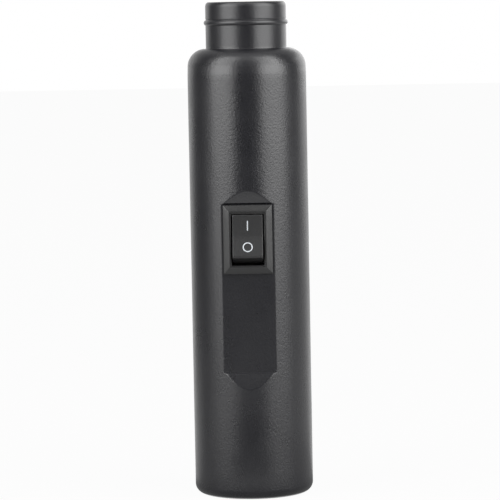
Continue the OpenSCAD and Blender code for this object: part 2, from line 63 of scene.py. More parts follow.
# Forms of the body, in millimetres
RECESS_DEPTH = 1.86
RECESS_SINK = 0.10
RECESS_STEP = 0.42
RECESS_LOW = 39.1
RECESS_HIGH = 90.8
STEP_RUN = 0.42
LOWER_RAMP = 5.2
UPPER_RAMP = 4.2
CUT_HALF_X = 6.45
CUT_HALF_Z = 9.6
HOLE_RADIUS = 4.1
BASE_ROUND = 3.0
SHOULDER_ROUND = 5.5
SHOULDER_LIFT = 0.12
EASE_BELOW = 9.5
EASE_RUN = 4.0
EASE_IN = 0.09
FRONT_BELOW = 7.8
FRONT_RUN = 5.3
FRONT_IN = 0.42
ROOT_ROUND = 0.15
MOUTH_WALL = 1.2
RIM_IN = 0.98
RIM_DOWN = 1.4
LIP_ROUND = 0.2
BEAD_DROP = 6.33
BEAD_HIGH = 0.52
BEAD_HALF = 0.74
GROOVE_DROP = 5.4
GROOVE_DEEP = 0.11
GROOVE_HALF = 0.15
WAVE_HIGH = 0.009
RIDGE_HALF = 0.2

# Forms of the switch, in millimetres
PIVOT_DEPTH = 5.0
FACE_RISE = 5.2
FACE_HALF = 6.613
MARK_OFFSET = 3.3

# Sizes of the studio, in metres
ROOM_RADIUS = 1.6
ROOM_HEIGHT = 2.4
APRON_LEVEL = 0.0006
CARD_RADIUS = 0.058


# Properties

class CandlingBody(bpy.types.PropertyGroup):
    """Sizes and colour of the moulded body."""

    radius: bpy.props.FloatProperty(
        name="Radius", description="Outside radius of the body",
        default=SHELL_HIGH.x, unit="LENGTH", precision=5)
    height: bpy.props.FloatProperty(
        name="Height", description="Height from the standing ring to the rim",
        default=SHELL_HIGH.z, unit="LENGTH", precision=5)
    wall: bpy.props.FloatProperty(
        name="Wall", description="Thickness of the moulded wall",
        default=1.6 * MM, unit="LENGTH", precision=5)
    neck_radius: bpy.props.FloatProperty(
        name="Neck radius", description="Outside radius of the neck",
        default=12.4 * MM, unit="LENGTH", precision=5)
    neck_height: bpy.props.FloatProperty(
        name="Neck height", description="Height of the neck above the shoulder",
        default=14.4 * MM, unit="LENGTH", precision=5)
    recess_depth: bpy.props.FloatProperty(
        name="Recess depth", description="Depth of the front flat below the round surface",
        default=RECESS_DEPTH * MM, unit="LENGTH", precision=5)
    parting_ridge: bpy.props.FloatProperty(
        name="Parting ridge", description="Height of the line that the mould's halves leave",
        default=0.04 * MM, unit="LENGTH", precision=6)
    edge_soft: bpy.props.FloatProperty(
        name="Edge softness", description="Rounding where the recess meets the round surface",
        default=0.17 * MM, unit="LENGTH", precision=6)
    colour: bpy.props.FloatVectorProperty(
        name="Colour", description="Colour of the body's plastic",
        default=(0.0062, 0.0062, 0.0088), subtype="COLOR", min=0.0, max=1.0)


class CandlingSwitch(bpy.types.PropertyGroup):
    """Sizes and colours of the rocker switch."""

    bezel_width: bpy.props.FloatProperty(
        name="Bezel width", description="Width of the bezel",
        default=FRAME_HIGH.x - FRAME_LOW.x, unit="LENGTH", precision=5)
    bezel_height: bpy.props.FloatProperty(
        name="Bezel height", description="Height of the bezel",
        default=FRAME_HIGH.z - FRAME_LOW.z, unit="LENGTH", precision=5)
    bezel_depth: bpy.props.FloatProperty(
        name="Bezel depth", description="Thickness of the bezel at its opening",
        default=2.0 * MM, unit="LENGTH", precision=5)
    opening_width: bpy.props.FloatProperty(
        name="Opening width", description="Width of the opening for the rocker",
        default=10.05 * MM, unit="LENGTH", precision=5)
    opening_height: bpy.props.FloatProperty(
        name="Opening height", description="Height of the opening for the rocker",
        default=15.66 * MM, unit="LENGTH", precision=5)
    rocker_width: bpy.props.FloatProperty(
        name="Rocker width", description="Width of the rocker",
        default=9.3 * MM, unit="LENGTH", precision=5)
    rocker_tilt: bpy.props.FloatProperty(
        name="Rocker tilt", description="Tilt of each half of the rocker's face",
        default=math.radians(10.75), subtype="ANGLE")
    frame_colour: bpy.props.FloatVectorProperty(
        name="Frame colour", description="Colour of the bezel and housing",
        default=(0.0115, 0.0115, 0.0118), subtype="COLOR", min=0.0, max=1.0)
    rocker_colour: bpy.props.FloatVectorProperty(
        name="Rocker colour", description="Colour of the rocker",
        default=(0.027, 0.027, 0.0275), subtype="COLOR", min=0.0, max=1.0)
    mark_colour: bpy.props.FloatVectorProperty(
        name="Mark colour", description="Colour of the I and O inlays",
        default=(0.57, 0.60, 0.63), subtype="COLOR", min=0.0, max=1.0)


class CandlingStage(bpy.types.PropertyGroup):
    """Camera and studio light."""

    camera_distance: bpy.props.FloatProperty(
        name="Camera distance", description="Level distance from the lamp's axis to the camera",
        default=0.932, unit="LENGTH")
    camera_height: bpy.props.FloatProperty(
        name="Camera height", description="Height of the camera above the floor",
        default=0.155, unit="LENGTH")
    camera_turn: bpy.props.FloatProperty(
        name="Camera turn", description="How far the camera stands round from the switch side",
        default=math.radians(2.0), subtype="ANGLE")
    camera_roll: bpy.props.FloatProperty(
        name="Camera roll", description="Roll of the camera, which leans the picture to the left",
        default=math.radians(1.08), subtype="ANGLE")
    aim_height: bpy.props.FloatProperty(
        name="Aim height", description="Height on the axis that the camera looks at",
        default=0.07534, unit="LENGTH")
    lens: bpy.props.FloatProperty(
        name="Lens", description="Focal length for a 36 mm sensor, in millimetres",
        default=217.5, min=10.0, max=500.0)
    softbox_power: bpy.props.FloatProperty(
        name="Softbox power", description="Power of each of the two front softboxes, in watts",
        default=5.6, min=0.0, max=100.0)
    room_light: bpy.props.FloatProperty(
        name="Room light", description="Strength of the even light from all round",
        default=0.25, min=0.0, max=2.0)


# Mesh helpers

def grid_faces(rows, cols, wrap_rows=False, wrap_cols=True):
    """Quads between neighbouring rows and columns of a grid that is numbered row by row."""
    i, j = np.meshgrid(np.arange(rows if wrap_rows else rows - 1),
                       np.arange(cols if wrap_cols else cols - 1), indexing="ij")
    i2 = (i + 1) % rows
    j2 = (j + 1) % cols
    quads = np.stack([i * cols + j, i * cols + j2, i2 * cols + j2, i2 * cols + j], axis=-1)
    return quads.reshape(-1, 4)


def lay_grid(points, wrap_rows=False, wrap_cols=True):
    """A (rows, columns, 3) array of points as one surface: its points in a list, and its quads."""
    rows, cols = points.shape[:2]
    return points.reshape(-1, 3), grid_faces(rows, cols, wrap_rows, wrap_cols)


def make_piece(name, surfaces, material, body, replaced=(), crease=38.0):
    """Joins surfaces into one closed mesh, merges poles and seams, turns faces out and dresses it."""
    starts = np.cumsum([0] + [len(v) for v, f in surfaces])
    verts = np.concatenate([v for v, f in surfaces]).astype(np.float32)
    faces = np.concatenate([f + s for (v, f), s in zip(surfaces, starts)]).astype(np.int32)
    mesh = bpy.data.meshes.new(name)
    mesh.vertices.add(len(verts))
    mesh.vertices.foreach_set("co", verts.ravel())
    mesh.loops.add(faces.size)
    mesh.loops.foreach_set("vertex_index", faces.ravel())
    mesh.polygons.add(len(faces))
    mesh.polygons.foreach_set("loop_start", np.arange(0, faces.size, 4, dtype=np.int32))
    mesh.update(calc_edges=True)
    work = bmesh.new()
    work.from_mesh(mesh)
    bmesh.ops.remove_doubles(work, verts=work.verts, dist=2e-7)
    bmesh.ops.dissolve_degenerate(work, dist=1e-8, edges=work.edges)
    bmesh.ops.recalc_face_normals(work, faces=work.faces)
    open_edges = sum(1 for e in work.edges if len(e.link_faces) != 2)
    work.to_mesh(mesh)
    work.free()
    if open_edges:
        raise RuntimeError("%s isn't closed: %d open edges" % (name, open_edges))
    mesh.shade_smooth()
    mesh.set_sharp_from_angle(angle=math.radians(crease))
    mesh.materials.append(material)
    piece = bpy.data.objects.new(name, mesh)
    bpy.context.scene.collection.objects.link(piece)
    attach(piece, body)
    if replaced:
        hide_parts(*replaced)


def arc(centre, radius, start, end, count):
    """Points on a circle's arc: centre plus radius times (cosine, sine) of each angle, in degrees."""
    a = np.radians(np.linspace(start, end, count))
    return np.stack([centre[0] + radius * np.cos(a), centre[1] + radius * np.sin(a)], axis=-1)


def rounded_path(corners, steps=6, closed=False):
    """A path through corners (a, b, radius): each corner with a radius becomes the arc that is
    tangent to both its legs, drawn as the blend of the tangent points about the arc's centre."""
    pts = np.array([c[:2] for c in corners], float)
    rads = [c[2] for c in corners]
    last = len(corners) - 1
    out = []
    for k, radius in enumerate(rads):
        if radius <= 0 or (not closed and k in (0, last)):
            out.append(pts[k:k + 1])
            continue
        before = pts[k - 1] - pts[k]
        after = pts[(k + 1) % len(pts)] - pts[k]
        before = before / np.linalg.norm(before)
        after = after / np.linalg.norm(after)
        half = math.acos(max(-1.0, min(1.0, float(before @ after)))) / 2
        middle = (before + after) / np.linalg.norm(before + after)
        centre = pts[k] + middle * radius / math.sin(half)
        p0 = pts[k] + before * radius / math.tan(half) - centre
        p1 = pts[k] + after * radius / math.tan(half) - centre
        sweep = math.pi - 2 * half
        t = np.linspace(0, 1, steps)[:, None]
        out.append(centre + (np.sin((1 - t) * sweep) * p0 + np.sin(t * sweep) * p1) / math.sin(sweep))
    return np.concatenate(out)


def lathe(profile, count=96, closed=True):
    """A profile of (radius, height) turned about Z: radius times (cosine, sine) of the angle."""
    a = np.linspace(0, 2 * math.pi, count, endpoint=False)
    r = profile[:, :1]
    points = np.stack([r * np.cos(a), r * np.sin(a), np.repeat(profile[:, 1:], count, 1)], axis=-1)
    return lay_grid(points * MM, wrap_rows=closed)


def rect_loops(half_x, half_y, corner, per_side=6, per_corner=6):
    """Rounded rectangles, one per entry: quarter circles of the corner radius about the four corner
    centres, joined by straight sides that are divided evenly."""
    hx, hy, rc = [np.asarray(v, float)[:, None] for v in (half_x, half_y, corner)]
    signs = [(1, 1), (-1, 1), (-1, -1), (1, -1)]
    arcs = []
    for q, (sx, sy) in enumerate(signs):
        a = np.linspace(0, math.pi / 2, per_corner) + q * math.pi / 2
        arcs.append(np.stack([sx * (hx - rc) + rc * np.cos(a), sy * (hy - rc) + rc * np.sin(a)], axis=-1))
    t = np.linspace(0, 1, per_side + 2)[1:-1][None, :, None]
    rows = []
    for q in range(4):
        here = arcs[q]
        following = arcs[(q + 1) % 4]
        rows.append(here)
        rows.append(here[:, -1:] * (1 - t) + following[:, :1] * t)
    return np.concatenate(rows, axis=1)


def soft_step(x):
    """Zero below 0, one above 1, and the curve 3x^2 - 2x^3 between."""
    x = np.clip(x, 0.0, 1.0)
    return x * x * (3 - 2 * x)


def soft_min(a, b, width):
    """The lesser of a and b, with the corner between them cut by a parabola of the given width."""
    h = np.clip(1 - np.abs(a - b) / width, 0.0, 1.0)
    return np.minimum(a, b) - h * h * width / 4


# Finishes

def shader_of(name):
    """A new material and its tree, shader, and Object coordinates."""
    material = bpy.data.materials.new(name)
    material.use_nodes = True
    tree = material.node_tree
    shader = tree.nodes["Principled BSDF"]
    coords = tree.nodes.new("ShaderNodeTexCoord")
    return material, tree, shader, coords.outputs["Object"]


def noise_of(tree, coords, scale, detail=3.0, stretch=None):
    """A noise field; scale is in cells per metre, and stretch slows it along an axis."""
    node = tree.nodes.new("ShaderNodeTexNoise")
    node.inputs["Scale"].default_value = scale
    node.inputs["Detail"].default_value = detail
    if stretch:
        turn = tree.nodes.new("ShaderNodeMapping")
        turn.inputs["Scale"].default_value = stretch
        tree.links.new(coords, turn.inputs["Vector"])
        coords = turn.outputs["Vector"]
    tree.links.new(coords, node.inputs["Vector"])
    return node.outputs["Fac"]


def range_of(tree, value, low, high, to_low, to_high):
    """Carries a field from one range to another, held at the ends."""
    node = tree.nodes.new("ShaderNodeMapRange")
    node.inputs["From Min"].default_value = low
    node.inputs["From Max"].default_value = high
    node.inputs["To Min"].default_value = to_low
    node.inputs["To Max"].default_value = to_high
    tree.links.new(value, node.inputs["Value"])
    return node.outputs["Result"]


def math_of(tree, operation, a, b):
    """One arithmetic step on two fields or numbers."""
    node = tree.nodes.new("ShaderNodeMath")
    node.operation = operation
    for socket, value in zip(node.inputs, (a, b)):
        if isinstance(value, (int, float)):
            socket.default_value = value
        else:
            tree.links.new(value, socket)
    return node.outputs["Value"]


def tint_of(tree, field, dark, light):
    """Mixes two colours by a field."""
    node = tree.nodes.new("ShaderNodeMix")
    node.data_type = "RGBA"
    node.inputs[6].default_value = (*dark, 1.0)
    node.inputs[7].default_value = (*light, 1.0)
    tree.links.new(field, node.inputs[0])
    return node.outputs[2]


def bump_of(tree, shader, height, depth, strength=1.0):
    """Raises the surface by a field times a depth in metres."""
    node = tree.nodes.new("ShaderNodeBump")
    node.inputs["Distance"].default_value = depth
    if isinstance(strength, (int, float)):
        node.inputs["Strength"].default_value = strength
    else:
        tree.links.new(strength, node.inputs["Strength"])
    tree.links.new(height, node.inputs["Height"])
    tree.links.new(node.outputs["Normal"], shader.inputs["Normal"])


def scaled(colour, factor):
    """A colour times a factor, held at one."""
    return tuple(min(1.0, c * factor) for c in colour)


def moulded_plastic(name, colour, rough, grain, depth, shine, smooth_from=None):
    """Moulded black plastic: orange-peel grain, patches of more and less gloss, faint rubbed lines.
    Above the height smooth_from, in metres, the grain is fainter and the surface a little duller."""
    material, tree, shader, coords = shader_of(name)
    fine = noise_of(tree, coords, grain, 4.0)
    cells = tree.nodes.new("ShaderNodeTexVoronoi")
    cells.feature = "SMOOTH_F1"
    cells.inputs["Scale"].default_value = grain * 0.55
    tree.links.new(coords, cells.inputs["Vector"])
    relief = math_of(tree, "ADD", fine, math_of(tree, "MULTIPLY", cells.outputs["Distance"], 0.7))
    peel = noise_of(tree, coords, grain * 0.5, 1.0)
    relief = math_of(tree, "ADD", relief, math_of(tree, "MULTIPLY", peel, 0.58))
    patches = noise_of(tree, coords, 95.0, 3.0)
    rubbed = noise_of(tree, coords, 900.0, 2.0, (1.0, 1.0, 0.06))
    gloss = range_of(tree, patches, 0.3, 0.7, rough - 0.03, rough + 0.035)
    gloss = math_of(tree, "ADD", gloss, range_of(tree, rubbed, 0.35, 0.7, -0.007, 0.009))
    strength = 1.0
    if smooth_from is not None:
        place = tree.nodes.new("ShaderNodeSeparateXYZ")
        tree.links.new(coords, place.inputs["Vector"])
        above = range_of(tree, place.outputs["Z"], smooth_from - MM, smooth_from + MM, 0.0, 1.0)
        strength = range_of(tree, above, 0.0, 1.0, 1.0, 0.55)
        gloss = math_of(tree, "ADD", gloss, math_of(tree, "MULTIPLY", above, 0.04))
    shader.inputs["Specular IOR Level"].default_value = shine
    tree.links.new(gloss, shader.inputs["Roughness"])
    tint = tint_of(tree, fine, scaled(colour, 0.8), scaled(colour, 1.2))
    tree.links.new(tint, shader.inputs["Base Color"])
    bump_of(tree, shader, relief, depth, strength)
    return material


def plain_metal(name, colour, rough, stretch=(1.0, 1.0, 1.0)):
    """Bright metal with drawn lines along the axis that stretch slows, and slight tarnish."""
    material, tree, shader, coords = shader_of(name)
    shader.inputs["Metallic"].default_value = 1.0
    lines = noise_of(tree, coords, 2600.0, 3.0, stretch)
    tarnish = noise_of(tree, coords, 260.0, 3.0)
    tree.links.new(range_of(tree, lines, 0.3, 0.7, rough - 0.07, rough + 0.09), shader.inputs["Roughness"])
    tree.links.new(tint_of(tree, tarnish, scaled(colour, 0.78), colour), shader.inputs["Base Color"])
    bump_of(tree, shader, lines, 0.000004)
    return material


def dull_skin(name, colour, rough=0.5, grain=1800.0):
    """Soft insulation, board lacquer or ceramic: mottled colour over a fine even grain."""
    material, tree, shader, coords = shader_of(name)
    fine = noise_of(tree, coords, grain, 4.0)
    mottle = noise_of(tree, coords, 420.0, 3.0)
    tint = tint_of(tree, mottle, scaled(colour, 0.82), scaled(colour, 1.1))
    tree.links.new(tint, shader.inputs["Base Color"])
    tree.links.new(range_of(tree, fine, 0.3, 0.7, rough - 0.08, rough + 0.1), shader.inputs["Roughness"])
    bump_of(tree, shader, fine, 0.000012)
    return material


def clear_resin(name, colour, rough):
    """Clear moulded resin with faint flow lines and fine rubbing."""
    material, tree, shader, coords = shader_of(name)
    shader.inputs["Transmission Weight"].default_value = 1.0
    shader.inputs["IOR"].default_value = 1.49
    flow = noise_of(tree, coords, 240.0, 2.0)
    rub = noise_of(tree, coords, 2100.0, 3.0)
    tree.links.new(range_of(tree, rub, 0.4, 0.75, rough, rough + 0.06), shader.inputs["Roughness"])
    tree.links.new(tint_of(tree, flow, scaled(colour, 0.97), colour), shader.inputs["Base Color"])
    bump_of(tree, shader, flow, 0.000006)
    return material


# Body

def runs(start, *stops):
    """Numbers from start through each (end, count) stop. Every stretch is divided evenly, and its
    count takes in the number that it shares with the stretch before."""
    parts = [np.array([start], float)]
    for end, count in stops:
        parts.append(np.linspace(parts[-1][-1], end, count)[1:])
    return np.concatenate(parts)


def upright(radius, heights):
    """Profile points at one radius and the given heights."""
    return np.stack([np.full(len(heights), radius), heights], axis=-1)


def body_sizes(look):
    """The body's sizes in millimetres: the wall's own radius leaves room for the parting ridge, the
    flat is the recess's distance from the axis, and the rise is the height of the recess's ramps."""
    outside = look.radius / MM
    ridge = look.parting_ridge / MM
    height = look.height / MM
    flat = outside - look.recess_depth / MM
    return SimpleNamespace(
        ridge=ridge, radius=outside - ridge, height=height, wall=look.wall / MM,
        neck=look.neck_radius / MM, shoulder=height - look.neck_height / MM, flat=flat,
        rise=outside - flat + RECESS_SINK - RECESS_STEP, soft=look.edge_soft / MM,
        cut_low=SWITCH_Z / MM - CUT_HALF_Z, cut_high=SWITCH_Z / MM + CUT_HALF_Z)


def outer_profile(size):
    """Radius and height from the inlet's hole along the hollow base, up the side, round the shoulder
    and its root, up the neck and over the rim, with rows close together at the recess and bead."""
    radius = size.radius
    neck = size.neck
    height = size.height
    shoulder = size.shoulder
    side = runs(BASE_ROUND, (32.6, 7), (38.5, 40), (39.7, 18), (size.cut_low, 8), (size.cut_high, 9),
                (90.2, 4), (91.4, 18), (97.3, 40), (shoulder - 9.6, 8), (shoulder - SHOULDER_ROUND, 12))
    round_z = shoulder - SHOULDER_ROUND + SHOULDER_LIFT
    root_z = shoulder + SHOULDER_LIFT + ROOT_ROUND
    lip = neck - MOUTH_WALL + LIP_ROUND
    return np.concatenate([
        rounded_path([(HOLE_RADIUS, 3.4, 0), (11.0, 3.4, 0.8), (12.1, 0.0, 0.5),
                      (radius - BASE_ROUND, 0, 0)], 7),
        arc((radius - BASE_ROUND, BASE_ROUND), BASE_ROUND, -86, -6, 13),
        upright(radius, side),
        arc((radius - SHOULDER_ROUND, round_z), SHOULDER_ROUND, 4, 90, 24),
        arc((neck + ROOT_ROUND, root_z), ROOT_ROUND, -90, -180, 7),
        upright(neck, np.linspace(shoulder + 1.2, height - 7.2, 5)),
        upright(neck, np.linspace(height - 7.1, height - 5.56, 23)),
        upright(neck, np.linspace(height - 5.5, height - 5.06, 9)),
        upright(neck, np.linspace(height - 4.9, height - 1.5, 5)),
        arc((0, 0), 1.0, 0, 90, 12) * [RIM_IN, RIM_DOWN] + [neck - RIM_IN, height - RIM_DOWN],
        arc((lip, height - LIP_ROUND), LIP_ROUND, 90, 180, 6)])


def inner_profile(size):
    """Radius and height from the mouth down past the light unit's seat, under the shoulder, down the
    wall and across the floor to the inlet's hole."""
    height = size.height
    shoulder = size.shoulder
    inside = size.radius - size.wall
    mouth = size.neck - MOUTH_WALL
    seat = mouth - 0.2
    bore = size.neck - 2.0
    centre = (size.radius - SHOULDER_ROUND, shoulder - SHOULDER_ROUND)
    rows = runs(shoulder - SHOULDER_ROUND, (94, 5), (90.5, 8), (size.cut_high, 2), (size.cut_low, 9),
                (39.5, 6), (36, 8), (3.2, 6))
    return np.concatenate([
        [[mouth, height - 3.0], [mouth, height - 5.9], [seat, height - 5.9], [seat, height - 7.5],
         [bore, height - 7.5], [bore, shoulder - size.wall]],
        arc(centre, SHOULDER_ROUND - size.wall, 90, 4, 10),
        upright(inside, rows),
        [[inside - 0.4, 2.2], [inside - 1.4, 1.8], [13.0, 1.8], [13.0, 5.2], [HOLE_RADIUS, 5.2]]])


def body_columns(cut):
    """Angles from the front, in degrees, close together at the recess's edges and parting lines."""
    half = runs(0, (cut, 31), (24.2, 4), (28.0, 24), (36.0, 7), (84.0, 15), (96.0, 25), (180.0, 18))
    return np.concatenate([-half[-2:0:-1], half])


def recess_level(z, flat, step, grow, rise):
    """Distance of the recess from the axis at each height: the flat, a small rounded step at each
    end, then a ramp up to the round surface. The ramp's height is its rise times a square law of
    the share of its length, a little steeper at first."""
    low = RECESS_LOW - grow
    high = RECESS_HIGH + grow
    past = np.maximum(low - z, z - high)
    length = np.where(z < (low + high) / 2, LOWER_RAMP, UPPER_RAMP)
    share = np.maximum(past - 0.02, 0.0) / length
    bend = 0.14
    ramp = (1 + bend) * share - bend * np.minimum(share, 1.5) ** 2
    return flat + step * soft_step((past + 0.1) / STEP_RUN) + rise * ramp


def skin_radius(size, r, z, angle):
    """The outside's own forms on the profile's radius: the bead is half an ellipse and the groove above
    it a bell curve of the height; the wall's slow waves are sines of angle and height, less their
    greatest sum; the side eases into the shoulder by a square law; the shoulder's front and back are
    drawn in by soft steps; each parting ridge is a bell curve of the distance round from its side."""
    a = np.radians(angle)
    from_rim = z - size.height
    lift = BEAD_HIGH * np.sqrt(np.maximum(1 - ((from_rim + BEAD_DROP) / BEAD_HALF) ** 2, 0.0))
    lift = lift - GROOVE_DEEP * np.exp(-((from_rim + GROOVE_DROP) / GROOVE_HALF) ** 2)
    r = r + np.where(np.abs(r - size.neck) < 1e-6, lift, 0.0)
    # One on the neck and the side, and nothing at the hole and on the base
    on_side = soft_step((r - 11.7) / 0.4) * soft_step((z - 1.0) / 2.0)
    wave = np.sin(3 * a + 0.045 * z)
    wave = wave + 0.8 * np.sin(5 * a - 0.11 * z + 1.7)
    wave = wave + 0.7 * np.sin(0.21 * z + 2 * a)
    greatest = 1 + 0.8 + 0.7
    r = r + on_side * WAVE_HIGH * (wave - greatest)
    from_shoulder = z - size.shoulder
    into = np.clip((from_shoulder + EASE_BELOW) / EASE_RUN, 0.0, 1.0)
    into = into * soft_step((r - size.neck - 0.5) / 3.0)
    r = r - EASE_IN * into * into
    front = soft_step(np.abs(np.cos(a)) / 0.64) * soft_step((r - size.neck - 0.5) / 3.0)
    r = r - FRONT_IN * front * soft_step((from_shoulder + FRONT_BELOW) / FRONT_RUN)
    round_from_side = np.radians(np.abs(angle) - 90) * r
    return r + on_side * size.ridge * np.exp(-(round_from_side / RIDGE_HALF) ** 2)


def carry_round(size, profile, angle, flat, step, grow, skin):
    """Points of a profile carried round the axis. Where they face the front, the radius is the lesser of
    its own and the recess plane's, which is the plane's distance over the angle's cosine."""
    r = np.repeat(profile[:, :1], angle.shape[1], 1)
    z = np.repeat(profile[:, 1:], angle.shape[1], 1)
    a = np.radians(angle)
    if skin:
        r = skin_radius(size, r, z, angle)
    plane = recess_level(z, flat, step, grow, size.rise)
    facing = np.cos(a)
    beside_flat = (z > RECESS_LOW - 0.5) & (z < RECESS_HIGH + 0.5)
    soft = np.where(beside_flat, size.soft, size.soft * 0.45)
    recessed = soft_min(r, plane / np.maximum(facing, 0.05), soft)
    r = np.where(facing > 0.05, recessed, r)
    return np.stack([r * np.sin(a), -r * facing, z], axis=-1)


def row_at(profile, radius, height):
    """The profile's row nearest a height, among its rows at a radius."""
    elsewhere = profile[:, 0] < radius - 0.01
    return int(np.argmin(np.abs(profile[:, 1] - height) + 50 * elsewhere))


def cut_window(rows, count, outer_rows, inner_rows, edge_cols):
    """The closed grid's quads without those of the switch's cut-out, and its four walls. Each pair of
    rows is the window's lower and upper edge, and the columns are its left and right edge."""
    o0, o1 = outer_rows
    n0, n1 = inner_rows
    c0, c1 = edge_cols
    quads = grid_faces(rows, count, wrap_rows=True).reshape(rows, count, 4)
    keep = np.ones((rows, count), bool)
    keep[o0:o1, c0:c1] = False
    keep[n1:n0, c0:c1] = False
    up = np.arange(o1 - o0)
    across = np.arange(c0, c1)
    corners = [((o0 + up, c), (o0 + up + 1, c), (n0 - up - 1, c), (n0 - up, c)) for c in edge_cols]
    corners += [((a, across), (a, across + 1), (b, across + 1), (b, across))
                for a, b in ((o0, n0), (o1, n1))]
    walls = [np.stack([row * count + col for row, col in four], axis=-1) for four in corners]
    return np.concatenate([quads[keep], *walls])


def body_surface(look):
    """The bottle as one closed grid. Its profile runs from the inlet hole out along the base, up the
    outside, over the rim and back down the inside; at each angle from the front the radius is the
    profile's or the recess plane's (level over cosine), whichever is less, with a soft corner."""
    size = body_sizes(look)
    outside = outer_profile(size)
    inside = inner_profile(size)
    inner_flat = size.flat - size.wall
    cut = math.degrees(math.atan(CUT_HALF_X / size.flat))
    cut_in = math.degrees(math.atan(CUT_HALF_X / inner_flat))
    cols = body_columns(cut)
    inner_cols = np.interp(cols, [-180, -36, -cut, cut, 36, 180], [-180, -38, -cut_in, cut_in, 38, 180])
    on_wall = inside[:, 0] > size.neck - 1.9
    angle_out = np.repeat(cols[None, :], len(outside), 0)
    angle_in = np.where(on_wall[:, None], inner_cols[None, :], cols[None, :])
    points = np.concatenate([
        carry_round(size, outside, angle_out, size.flat - RECESS_SINK, RECESS_STEP, 0.0, True),
        carry_round(size, inside, angle_in, inner_flat, 0.0, size.wall / 2, False)])
    ends = (size.cut_low, size.cut_high)
    outer_rows = [row_at(outside, size.radius, end) for end in ends]
    inner_rows = [len(outside) + row_at(inside, size.radius - size.wall, end) for end in ends]
    edge_cols = [int(np.argmin(np.abs(cols - edge))) for edge in (-cut, cut)]
    quads = cut_window(*points.shape[:2], outer_rows, inner_rows, edge_cols)
    return points.reshape(-1, 3) * MM, quads


class CANDLING_OT_body(bpy.types.Operator):
    """Makes the blow-moulded body with its shoulder, neck, bead, recess and switch cut-out"""

    bl_idname = "candling.body"
    bl_label = "Moulded Body"

    def execute(self, context):
        look = context.scene.candling_body
        finish = moulded_plastic("body_black", look.colour, rough=0.29, grain=2900.0, depth=0.000034,
                                 shine=0.85, smooth_from=look.height - look.neck_height)
        make_piece("moulded_body", [body_surface(look)], finish, "lamp", ["body_shell"])
        return {"FINISHED"}


# Switch

def to_panel(x, up, out):
    """The switch's own frame, in millimetres, to the lamp's: x across, up the panel, out of its front."""
    flat = SHELL_HIGH.x / MM - RECESS_DEPTH
    return np.stack([x, -flat - out, SWITCH_Z / MM + up], axis=-1) * MM


def bezel_surface(look):
    """The switch frame as rounded rectangles carried along a section: up the inside of the opening,
    over the flat ring, down the slope to the outer edge, then in and down the housing behind."""
    hx = look.opening_width / MM / 2
    hy = look.opening_height / MM / 2
    out_x = look.bezel_width / MM / 2 - hx
    out_y = look.bezel_height / MM / 2 - hy
    mean = (out_x + out_y) / 2
    top = look.bezel_depth / MM
    ring = 0.72
    edge = 0.86
    house = 1.42
    floor_in = -10.2
    floor_out = -11.7
    section = rounded_path([(0, floor_in, 0), (0, top, 0.16), (ring, top, 1.3), (mean, edge, 0.22),
                            (mean, -RECESS_SINK, 0), (house, -RECESS_SINK, 0), (house, floor_out, 0)], 7)
    off = section[:, 0]
    half_x = hx + off * out_x / mean
    half_y = hy + off * out_y / mean
    corner = 0.1 + 0.05 * off
    sizes = [np.concatenate([[0.0], size, [0.0]]) for size in (half_x, half_y, corner)]
    level = np.concatenate([[floor_in], section[:, 1], [floor_out]])
    loops = rect_loops(*sizes, 5, 6)
    out = np.repeat(level[:, None], loops.shape[1], 1)
    return lay_grid(to_panel(loops[..., 0], loops[..., 1], out))


def latch_surface(sign):
    """A snap wedge on an end of the housing: its side section carried across, closed at both ends."""
    section = np.array([[9.0, -1.7], [10.3, -1.7], [10.3, -2.1], [9.42, -5.0], [9.0, -5.0]])
    middle = section.mean(0)
    rings = np.stack([np.broadcast_to(middle, section.shape), section, section,
                      np.broadcast_to(middle, section.shape)])
    across = np.repeat(np.array([-2.5, -2.5, 2.5, 2.5])[:, None], len(section), 1)
    return lay_grid(to_panel(across, sign * rings[..., 0], rings[..., 1]))


def press_in(look, x, up, out):
    """A point of the level rocker, from its pivot, turned by the tilt that presses the I end in."""
    tilt = look.rocker_tilt
    pivot = look.bezel_depth / MM - PIVOT_DEPTH
    return to_panel(x, up * math.cos(tilt) + out * math.sin(tilt),
                    pivot - up * math.sin(tilt) + out * math.cos(tilt))


def rocker_place(look, x, u, w):
    """Point of the rocker from u along its face and w below it. The face's slope is the tilt times a
    smooth sign of u, so its height is the integral of that slope, and w runs along the normal. The
    whole is then turned by the tilt, which presses the I end in."""
    tilt = look.rocker_tilt
    reach = 2.1
    bend = 1.35
    face = FACE_RISE / math.cos(tilt)
    lean = math.sin(tilt) * np.tanh(u / reach * bend)
    rise = math.sin(tilt) * reach / bend * np.log(2 * np.cosh(u / reach * bend))
    flat = np.sqrt(1 - lean * lean)
    run = u * math.cos(tilt) + (1 - math.cos(tilt)) * reach * np.tanh(u / reach)
    return press_in(look, x, run + w * lean, face + rise - w * flat)


